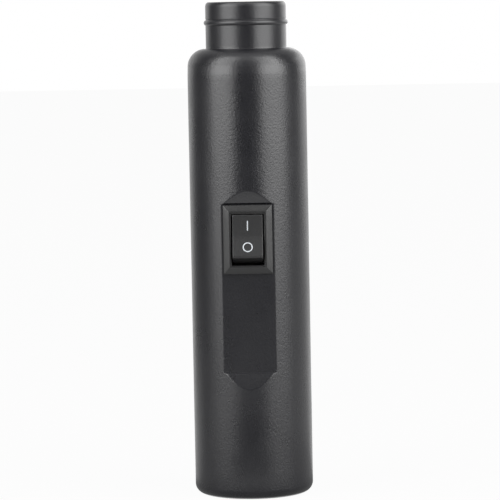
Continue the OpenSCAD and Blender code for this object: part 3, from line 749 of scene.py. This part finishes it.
def rocker_surface(look):
    """The rocker cap as rounded rectangles over its face: growing from the middle, over a rounded
    edge, down the skirt, then back up inside to the underside of the cap."""
    hx = look.rocker_width / MM / 2
    hy = FACE_HALF
    side = 0.3
    end = 0.8
    drop = 0.8
    skirt = 1.2
    corner_round = 0.42
    grow = np.array([0.0, 0.2, 0.4, 0.6, 0.8, 0.92])
    turn = np.radians(np.linspace(0, 90, 12))

    def half_sizes(half, edge):
        """Half widths of the loops: shares of the face, a quarter circle round the edge, the
        full width down the skirt, and the width inside it back to the middle."""
        inside = half - skirt
        return np.concatenate([grow * (half - edge), half - edge + edge * np.sin(turn), [half, half],
                               [inside, inside], inside * np.array([0.5, 0.0])])

    half_x = half_sizes(hx, side)
    half_y = half_sizes(hy, end)
    corner = np.minimum(corner_round, corner_round * half_x / hx)
    loops = rect_loops(half_x, half_y, corner, 28, 6)
    stretch = half_sizes(hy, side) / np.maximum(half_y, 0.001)
    x = loops[..., 0]
    u = np.where(loops[..., 1] > 0, loops[..., 1] * stretch[:, None], loops[..., 1])
    fall = np.concatenate([grow * 0, 1 - np.cos(turn), [1, 1], [1, 1], [1, 1]])[:, None]
    plain = np.concatenate([grow * 0, turn * 0, [3.0, 6.0], [6.0, 1.9], [1.9, 1.9]])[:, None]
    at_end = soft_step((-u - (hy - end - 0.5)) / 0.5)
    w = np.where(plain > 0, plain, fall * (side + (drop - side) * at_end))
    return lay_grid(rocker_place(look, x, u, w))


def rocker_round(look, axis, rings, count=40):
    """Round parts of the rocker: a pin along x or the post along its height, as rings of a radius
    at a distance along the axis, closed where the radius is zero or the rings come back on themselves."""
    a = np.linspace(0, 2 * math.pi, count, endpoint=False)
    r = rings[:, :1]
    along = np.repeat(rings[:, 1:], count, 1)
    if axis == "x":
        x, up, out = along, r * np.cos(a), r * np.sin(a)
    else:
        x, up, out = r * np.cos(a), r * np.sin(a), along
    return lay_grid(press_in(look, x, up, out), wrap_rows=axis != "x")


def bar_mark(look):
    """The I: a rounded bar that follows the face, a little proud of it and let into it."""
    half_x = np.array([0.0, 0.15, 0.17, 0.17, 0.0])
    half_y = np.array([0.0, 1.48, 1.5, 1.5, 0.0])
    depth = np.array([-0.025, -0.025, -0.005, 0.15, 0.15])
    loops = rect_loops(half_x, half_y, np.array([0.0, 0.08, 0.1, 0.1, 0.0]), 8, 5)
    w = np.repeat(depth[:, None], loops.shape[1], 1)
    return lay_grid(rocker_place(look, loops[..., 0], loops[..., 1] + MARK_OFFSET, w))


def ring_mark(look):
    """The O: a flat ring that follows the face, a little proud of it and let into it."""
    section = np.array([[1.2, 0.15], [1.2, -0.005], [1.22, -0.025], [1.52, -0.025], [1.54, -0.005],
                        [1.54, 0.15]])
    a = np.linspace(0, 2 * math.pi, 72, endpoint=False)
    x = section[:, :1] * np.cos(a)
    u = section[:, :1] * np.sin(a) - MARK_OFFSET
    w = np.repeat(section[:, 1:], 72, 1)
    return lay_grid(rocker_place(look, x, u, w), wrap_rows=True)


class CANDLING_OT_switch_frame(bpy.types.Operator):
    """Makes the bevelled bezel with its housing and snap latches"""

    bl_idname = "candling.switch_frame"
    bl_label = "Switch Frame"

    def execute(self, context):
        look = context.scene.candling_switch
        finish = moulded_plastic("switch_black", look.frame_colour, rough=0.34, grain=5200.0,
                                 depth=0.000012, shine=0.68)
        parts = [bezel_surface(look), latch_surface(1), latch_surface(-1)]
        make_piece("switch_bezel", parts, finish, "lamp", ["switch_frame"], crease=50.0)
        return {"FINISHED"}


class CANDLING_OT_rocker(bpy.types.Operator):
    """Makes the rocker with its pins and post, and the inlaid I and O"""

    bl_idname = "candling.rocker"
    bl_label = "Rocker"

    def execute(self, context):
        look = context.scene.candling_switch
        finish = moulded_plastic("rocker_black", look.rocker_colour, rough=0.36, grain=4800.0,
                                 depth=0.000014, shine=0.42)
        pin = np.array([[0.0, 3.9], [1.0, 3.9], [1.0, 5.6], [0.85, 5.75], [0.0, 5.75]])
        post = np.array([[1.5, -1.5], [2.3, -1.5], [2.3, 3.8], [1.5, 3.8]])
        parts = [rocker_surface(look), rocker_round(look, "x", pin), rocker_round(look, "x", pin * [1, -1]),
                 rocker_round(look, "post", post)]
        make_piece("rocker_cap", parts, finish, "rocker", ["switch_rocker"], crease=50.0)
        paint = dull_skin("mark_white", look.mark_colour, 0.45, 3000.0)
        make_piece("rocker_mark_bar", [bar_mark(look)], paint, "rocker", crease=50.0)
        make_piece("rocker_mark_ring", [ring_mark(look)], paint, "rocker", crease=50.0)
        return {"FINISHED"}


# Light unit

def cup_radius(h, start, focus):
    """A parabola turned on its side: the radius squared grows by four focal lengths per unit height."""
    return np.sqrt(start * start + 4 * focus * h)


class CANDLING_OT_light_unit(bpy.types.Operator):
    """Makes the reflector, window, ring and LED dome in the neck"""

    bl_idname = "candling.light_unit"
    bl_label = "Light Unit"

    def execute(self, context):
        low, high = [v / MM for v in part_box("reflector")]
        h = np.linspace(0, high.z - low.z, 40)
        start = 2.605
        mouth = 8.0
        thick = 0.9
        widest = 8.7
        focus = (mouth ** 2 - start ** 2) / 4 / h[-1]
        bowl = np.stack([cup_radius(h, start, focus), low.z + h], axis=-1)
        back = h[::-1][4:]
        behind = np.minimum(cup_radius(back, start, focus) + thick, widest)
        behind = np.stack([behind, low.z + back], axis=-1)
        rim = np.array([[high.x, high.z], [high.x, high.z - 0.8]])
        mirror = plain_metal("reflector_bright", (0.86, 0.87, 0.88), 0.12)
        make_piece("reflector_cup", [lathe(np.concatenate([bowl, rim, behind]), 128)], mirror,
                   "lamp", ["reflector"])
        low, high = [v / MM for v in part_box("lens_window")]
        edge = 0.25
        disc = rounded_path([(0, low.z, 0), (high.x, low.z, edge), (high.x, high.z, edge),
                             (0, high.z, 0)], 5)
        resin = clear_resin("window_resin", (0.94, 0.97, 0.97), 0.02)
        make_piece("window_disc", [lathe(disc, 96, False)], resin, "lamp", ["lens_window"])
        low, high = [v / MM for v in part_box("lens_ring")]
        ring = rounded_path([(8.42, low.z, 0.08), (high.x, low.z, 0.05), (high.x, high.z, 0.12),
                             (8.82, high.z, 0.12)], 5, True)
        dark = moulded_plastic("carrier_black", (0.02, 0.02, 0.021), rough=0.38, grain=4200.0,
                               depth=0.00002, shine=0.85)
        make_piece("window_ring", [lathe(ring, 128)], dark, "lamp", ["lens_ring"])
        low, high = [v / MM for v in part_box("led_dome")]
        dome = np.concatenate([[[0, low.z]], arc((0, low.z), high.z - low.z, 0, 90, 16)])
        dome[-1, 0] = 0.0
        gel = dull_skin("led_gel", (0.80, 0.62, 0.12), 0.2, 2400.0)
        make_piece("led_gel_dome", [lathe(dome, 64, False)], gel, "lamp", ["led_dome"])
        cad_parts["lamp_carrier"].data.materials.clear()
        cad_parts["lamp_carrier"].data.materials.append(dark)
        return {"FINISHED"}


# Inlet

def nut_surface(low, high, across):
    """A hexagon nut: the outline's radius is half the flats over the cosine of the angle from the
    nearest flat's middle; its corners are cut by a 30 degree cone above and below."""
    a = np.linspace(0, 2 * math.pi, 144, endpoint=False)
    off = (a + math.pi / 6) % (math.pi / 3) - math.pi / 6
    hexagon = across / 2 / np.cos(off)
    cone = across / 2 * 0.97
    drop = (hexagon - cone) * math.tan(math.radians(30))
    bore = 4.06
    mouth = 4.4
    chamfer = 0.35
    radii = (bore, mouth, cone, hexagon, hexagon, cone, mouth, bore)
    levels = (low + chamfer, low, low, low + drop, high - drop, high, high, high - chamfer)
    r, z = [np.stack([row * np.ones_like(a) for row in rows]) for rows in (radii, levels)]
    return lay_grid(np.stack([r * np.cos(a), r * np.sin(a), z], axis=-1) * MM, wrap_rows=True)


def barrel_surface(mouth, seat, top):
    """The inlet's barrel as a turned profile; on the threaded part the radius follows a triangle wave
    of the height over the pitch less the angle's share of a turn."""
    thread = np.linspace(mouth + 0.3, seat, 58)
    profile = np.concatenate([
        [[3.0, mouth + 0.25], [3.2, mouth], [3.75, mouth]],
        np.stack([np.full(58, 4.0), thread], axis=-1),
        rounded_path([(4.0, seat, 0), (5.6, seat, 0.1), (5.6, seat + 1.5, 0.25), (4.6, seat + 1.5, 0.2),
                      (4.6, top, 0.3), (0.68, top, 0)], 5),
        [[0.68, mouth + 10.0], [3.0, mouth + 10.0]]])
    a = np.linspace(0, 2 * math.pi, 96, endpoint=False)
    r = np.repeat(profile[:, :1], 96, 1)
    z = np.repeat(profile[:, 1:], 96, 1)
    wave = np.abs(((z / 0.75 - a / (2 * math.pi)) % 1.0) * 2 - 1)
    on_thread = (np.abs(r - 4.0) < 1e-6) & (z < seat - 0.02) & (z > mouth + 0.32)
    r = r - np.where(on_thread, 0.24 * wave, 0.0)
    return lay_grid(np.stack([r * np.cos(a), r * np.sin(a), z], axis=-1) * MM, wrap_rows=True)


class CANDLING_OT_inlet(bpy.types.Operator):
    """Makes the power inlet's barrel, centre pin and clamping nut"""

    bl_idname = "candling.inlet"
    bl_label = "Power Inlet"

    def execute(self, context):
        nickel = plain_metal("nickel_plate", (0.66, 0.65, 0.62), 0.26)
        low, high = [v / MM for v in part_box("dc_jack_nut")]
        nut = nut_surface(low.z, high.z, 11.0)
        make_piece("inlet_nut", [nut], nickel, "lamp", ["dc_jack_nut"], crease=25.0)
        low, high = [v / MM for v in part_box("dc_jack_barrel")]
        dark = moulded_plastic("inlet_black", (0.022, 0.022, 0.022), rough=0.42, grain=4200.0,
                               depth=0.00002, shine=0.85)
        make_piece("inlet_barrel", [barrel_surface(low.z, 5.2, high.z)], dark, "lamp",
                   ["dc_jack_barrel"])
        low, high = [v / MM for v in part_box("dc_jack_pin")]
        tip = arc((0, low.z + 1.05), 1.05, -90, 0, 10)
        tip[0, 0] = 0.0
        lug = rounded_path([(1.05, 10.4, 0), (1.05, 10.6, 0.08), (0.65, 10.6, 0), (0.65, high.z - 0.4, 0),
                            (0.3, high.z, 0), (0, high.z, 0)], 4)
        pin = lathe(np.concatenate([tip, lug]), 48, False)
        make_piece("inlet_pin", [pin], nickel, "lamp", ["dc_jack_pin"])
        return {"FINISHED"}


# Pieces inside

class CANDLING_OT_inside(bpy.types.Operator):
    """Gives the switch works, wiring and light unit solids their finishes"""

    bl_idname = "candling.inside"
    bl_label = "Inside Pieces"

    def execute(self, context):
        brass = plain_metal("brass_strip", (0.60, 0.42, 0.17), 0.3, (1.0, 0.1, 1.0))
        steel = plain_metal("spring_wire", (0.55, 0.55, 0.56), 0.28)
        silver = plain_metal("contact_face", (0.74, 0.73, 0.70), 0.24)
        plate = plain_metal("plated_strip", (0.66, 0.65, 0.62), 0.28, (1.0, 1.0, 0.1))
        cast = plain_metal("heat_sink_alloy", (0.62, 0.63, 0.64), 0.38, (1.0, 1.0, 0.1))
        solder = plain_metal("solder_dome", (0.62, 0.62, 0.63), 0.33)
        sleeve = dull_skin("connector_sleeve_red", (0.28, 0.03, 0.03), 0.42)
        red = dull_skin("wire_sheath_red", (0.42, 0.03, 0.025), 0.4)
        black = dull_skin("wire_sheath_black", (0.018, 0.018, 0.019), 0.42)
        ceramic = dull_skin("resistor_body", (0.56, 0.44, 0.25), 0.5)
        lacquer = dull_skin("board_lacquer", (0.78, 0.78, 0.75), 0.4)
        package = dull_skin("led_package_white", (0.82, 0.81, 0.76), 0.42)
        finishes = {
            "rocker_plunger": brass, "contact_bridge": brass, "common_terminal": brass,
            "load_terminal": brass, "rocker_spring": steel, "bridge_contact": silver,
            "fixed_contact": silver, "spade_connectors": sleeve, "dc_jack_leaf": plate,
            "heat_sink": cast, "led_board": lacquer, "led_package": package, "feed_wire": red,
            "lamp_wire": red, "return_wire_upper": black, "return_wire_lower": black,
            "series_resistor": ceramic, "resistor_sleeve": black, "solder_joints": solder}
        for name, finish in finishes.items():
            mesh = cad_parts[name].data
            mesh.materials.clear()
            mesh.materials.append(finish)
        return {"FINISHED"}


# Stage

def seen_directly(tree):
    """One for camera, glossy and transmission rays, and zero for the rest."""
    path = tree.nodes.new("ShaderNodeLightPath")
    first = math_of(tree, "ADD", path.outputs["Is Camera Ray"], path.outputs["Is Glossy Ray"])
    total = math_of(tree, "ADD", first, path.outputs["Is Transmission Ray"])
    return math_of(tree, "MINIMUM", total, 1.0)


def stage_piece(name, points, material):
    """A sheet of the studio, laid on a grid of points."""
    verts, faces = lay_grid(points, wrap_cols=False)
    mesh = bpy.data.meshes.new(name)
    mesh.from_pydata(verts.tolist(), [], faces.tolist())
    mesh.materials.append(material)
    sheet = bpy.data.objects.new(name, mesh)
    bpy.context.scene.collection.objects.link(sheet)
    return sheet


def reflected_only(sheet):
    """Lets a sheet be seen in reflections alone."""
    sheet.visible_camera = False
    sheet.visible_diffuse = False
    sheet.visible_shadow = False
    sheet.visible_transmission = False


def curved_sheet(name, glow, radius, sweep, rise):
    """A sheet at one radius: sweep is its angles from the front in degrees and rise its heights, each
    as a first, a last and a count."""
    a, z = np.meshgrid(np.radians(np.linspace(*sweep)), np.linspace(*rise), indexing="ij")
    points = np.stack([radius * np.sin(a), -radius * np.cos(a), z], axis=-1)
    reflected_only(stage_piece(name, points, glow))


def flat_sheet(name, glow, level, sweep, reach):
    """A level sheet between two angles from the front, in degrees, and two radii."""
    a, r = np.meshgrid(np.radians(np.linspace(*sweep, 48)), np.linspace(*reach, 8), indexing="ij")
    points = np.stack([r * np.sin(a), -r * np.cos(a), 0 * r + level], axis=-1)
    reflected_only(stage_piece(name, points, glow))


def softbox(name, turn, distance, target, height, size, power):
    """A rectangular lamp that stands round from the front by turn, and faces the axis. It looks
    level where target is zero, and otherwise down at that height on the axis."""
    data = bpy.data.lights.new(name, "AREA")
    data.shape = "RECTANGLE"
    data.size = size[0]
    data.size_y = size[1]
    data.energy = power
    lamp = bpy.data.objects.new(name, data)
    lamp.location = (math.sin(turn) * distance, -math.cos(turn) * distance, height)
    aim = Vector((0, 0, target or height)) - lamp.location
    lamp.rotation_euler = aim.to_track_quat("-Z", "Y").to_euler()
    bpy.context.scene.collection.objects.link(lamp)


class CANDLING_OT_stage(bpy.types.Operator):
    """Makes the floor, studio light and camera"""

    bl_idname = "candling.stage"
    bl_label = "Stage"

    def execute(self, context):
        scene = context.scene
        look = scene.candling_stage
        scene.view_settings.view_transform = "Standard"
        self.make_floor()
        self.make_room(look)
        power = look.softbox_power
        usual_width = 0.82
        for side, degrees, width, gain in (("left", -49, 0.84, 0.91), ("right", 54, 0.94, 1.0)):
            turn = math.radians(degrees)
            share = power * gain * width / usual_width
            softbox("softbox_" + side, turn, distance=0.95, target=0.0, height=0.47,
                    size=(width, 0.92), power=share)
            softbox("softbox_mid_" + side, turn, distance=0.93, target=0.0, height=0.355,
                    size=(width * 0.9, 0.41), power=share * 0.3075)
            softbox("softbox_high_" + side, turn, distance=0.75, target=0.13, height=1.05,
                    size=(0.7, 0.6), power=power * 0.58)
        self.make_camera(look)
        return {"FINISHED"}

    def make_floor(self):
        """A pale floor: nearly a white glow to the camera and in reflections, grey paper to the rest."""
        material = bpy.data.materials.new("floor_white")
        material.use_nodes = True
        tree = material.node_tree
        tree.nodes.clear()
        out = tree.nodes.new("ShaderNodeOutputMaterial")
        paper = tree.nodes.new("ShaderNodeBsdfDiffuse")
        paper.inputs["Color"].default_value = (0.5, 0.5, 0.5, 1.0)
        glow = tree.nodes.new("ShaderNodeEmission")
        glow.inputs["Strength"].default_value = 1.0
        mix = tree.nodes.new("ShaderNodeMixShader")
        share = math_of(tree, "MULTIPLY", seen_directly(tree), 0.96)
        tree.links.new(share, mix.inputs["Fac"])
        tree.links.new(paper.outputs["BSDF"], mix.inputs[1])
        tree.links.new(glow.outputs["Emission"], mix.inputs[2])
        tree.links.new(mix.outputs["Shader"], out.inputs["Surface"])
        x, y = np.meshgrid(np.linspace(-4, 4, 5), np.linspace(-4, 4, 5), indexing="ij")
        stage_piece("floor", np.stack([x, y, x * 0], axis=-1), material)

    def make_room(self, look):
        """The light from all round, and glowing sheets round the lamp that only reflections show."""
        world = bpy.data.worlds.new("studio")
        bpy.context.scene.world = world
        world.use_nodes = True
        tree = world.node_tree
        tree.nodes.clear()
        out = tree.nodes.new("ShaderNodeOutputWorld")
        mix = tree.nodes.new("ShaderNodeMixShader")
        tree.links.new(seen_directly(tree), mix.inputs["Fac"])
        for place, strength in ((1, look.room_light), (2, 1.0)):
            sky = tree.nodes.new("ShaderNodeBackground")
            sky.inputs["Color"].default_value = (1, 1, 1, 1)
            sky.inputs["Strength"].default_value = strength
            tree.links.new(sky.outputs["Background"], mix.inputs[place])
        tree.links.new(mix.outputs["Shader"], out.inputs["Surface"])
        dark = self.make_glow("dark_room", 0.13)
        dim = self.make_glow("dim_room", 0.21)
        near = self.make_glow("near_room", 0.31)
        soft = self.make_glow("soft_room", 0.43)
        pale = self.make_glow("pale_room", 0.68)
        light = self.make_glow("light_room", 0.82)
        bright = self.make_glow("bright_room", 2.0)
        # Walls: glow, angles from the front in degrees, foot and head in metres
        top = ROOM_HEIGHT
        walls = ((dim, -126, -30, 0.0, 0.2), (dim, -73, -30, 0.2, 0.9), (pale, -92, -73, 0.2, 0.6),
                 (dim, -92, -73, 0.6, 0.9), (dim, -126, -92, 0.2, 0.9),
                 (dark, -30, 30, 0.0, 0.7), (soft, -30, 30, 0.7, 1.15), (dark, -30, 30, 1.15, 1.95),
                 (pale, -30, 30, 1.95, top),
                 (dim, 30, 122, 0.0, 0.2), (dim, 30, 78, 0.2, 0.9), (pale, 78, 96, 0.2, 0.6),
                 (dim, 78, 96, 0.6, 0.9), (dim, 96, 122, 0.2, 0.9),
                 (dim, -126, -80, 0.9, top), (bright, -80, -62, 0.9, 2.3), (dim, -62, -30, 0.9, top),
                 (dim, 84, 122, 0.9, top), (bright, 62, 84, 0.9, 2.3), (dim, 30, 62, 0.9, top),
                 (bright, 127, 144, 0.13, 0.85), (bright, 144, 178, 0.1, 0.85), (soft, 122, 234, 0.85, top))
        for glow, low, high, foot, head in walls:
            curved_sheet("room_wall", glow, ROOM_RADIUS, (low, high, 32), (foot, head, 4))
        flat_sheet("ceiling", pale, ROOM_HEIGHT, (-180, 180), (0.01, ROOM_RADIUS))
        # Aprons on the floor: glow, angles from the front in degrees, inner and outer radius in metres. The
        # first, a dim ring round the base, is painted shadow: it stands in for the floor's contact shadow,
        # which the floor's glow hides from reflections.
        far = ROOM_RADIUS
        aprons = ((near, -180, 180, 0.005, 0.032), (light, -34, 34, 0.032, CARD_RADIUS),
                  (soft, -34, 34, 0.13, 0.45), (dark, -34, 34, 0.45, far),
                  (soft, -112, -86, 0.032, 0.3), (pale, -140, -112, 0.032, 0.3),
                  (near, -140, -86, 0.3, 0.5), (dim, -140, -86, 0.5, far),
                  (soft, -86, -34, 0.032, 0.1), (pale, -86, -34, 0.1, far),
                  (soft, 34, 140, 0.032, 0.1), (pale, 34, 140, 0.1, far))
        for glow, low, high, inner, outer in aprons:
            flat_sheet("apron", glow, APRON_LEVEL, (low, high), (inner, outer))
        curved_sheet("low_card", dim, CARD_RADIUS, (-34, 34, 24), (APRON_LEVEL, 0.016, 3))

    def make_glow(self, name, strength):
        """A material that gives off an even light."""
        material = bpy.data.materials.new(name)
        material.use_nodes = True
        tree = material.node_tree
        tree.nodes.clear()
        out = tree.nodes.new("ShaderNodeOutputMaterial")
        glow = tree.nodes.new("ShaderNodeEmission")
        glow.inputs["Strength"].default_value = strength
        tree.links.new(glow.outputs["Emission"], out.inputs["Surface"])
        return material

    def make_camera(self, look):
        """The camera, aimed at a height on the lamp's axis and rolled a little."""
        data = bpy.data.cameras.new("photo_view")
        data.sensor_width = 36.0
        data.lens = look.lens
        data.clip_start = 0.01
        data.clip_end = 20.0
        camera = bpy.data.objects.new("photo_view", data)
        place = Vector((math.sin(look.camera_turn) * look.camera_distance,
                        -math.cos(look.camera_turn) * look.camera_distance, look.camera_height))
        aim = Vector((0, 0, look.aim_height)) - place
        turn = aim.to_track_quat("-Z", "Y").to_matrix()
        camera.location = place
        camera.rotation_euler = (turn @ Matrix.Rotation(-look.camera_roll, 3, "Z")).to_euler()
        bpy.context.scene.collection.objects.link(camera)
        bpy.context.scene.camera = camera


class CANDLING_PT_panel(bpy.types.Panel):
    """Lists the lamp's sizes, colours and building steps"""

    bl_idname = "CANDLING_PT_panel"
    bl_label = "Candling Lamp"
    bl_space_type = "VIEW_3D"
    bl_region_type = "UI"
    bl_category = "Candling Lamp"

    def draw(self, context):
        scene = context.scene
        for group in (scene.candling_body, scene.candling_switch, scene.candling_stage):
            box = self.layout.box()
            for name in group.__annotations__:
                box.prop(group, name)
        for step in OPERATORS:
            self.layout.operator(step.bl_idname)


GROUPS = {
    "candling_body": CandlingBody,
    "candling_switch": CandlingSwitch,
    "candling_stage": CandlingStage,
}
OPERATORS = (
    CANDLING_OT_stage,
    CANDLING_OT_body,
    CANDLING_OT_switch_frame,
    CANDLING_OT_rocker,
    CANDLING_OT_light_unit,
    CANDLING_OT_inlet,
    CANDLING_OT_inside,
)


def register():
    for name, group in GROUPS.items():
        bpy.utils.register_class(group)
        setattr(bpy.types.Scene, name, bpy.props.PointerProperty(type=group))
    for step in OPERATORS:
        bpy.utils.register_class(step)
    bpy.utils.register_class(CANDLING_PT_panel)


def unregister():
    bpy.utils.unregister_class(CANDLING_PT_panel)
    for step in reversed(OPERATORS):
        bpy.utils.unregister_class(step)
    for name, group in reversed(GROUPS.items()):
        delattr(bpy.types.Scene, name)
        bpy.utils.unregister_class(group)


def main():
    register()
    bpy.ops.candling.stage()
    bpy.ops.candling.body()
    bpy.ops.candling.switch_frame()
    bpy.ops.candling.rocker()
    bpy.ops.candling.light_unit()
    bpy.ops.candling.inlet()
    bpy.ops.candling.inside()


if __name__ == "__main__":
    main()
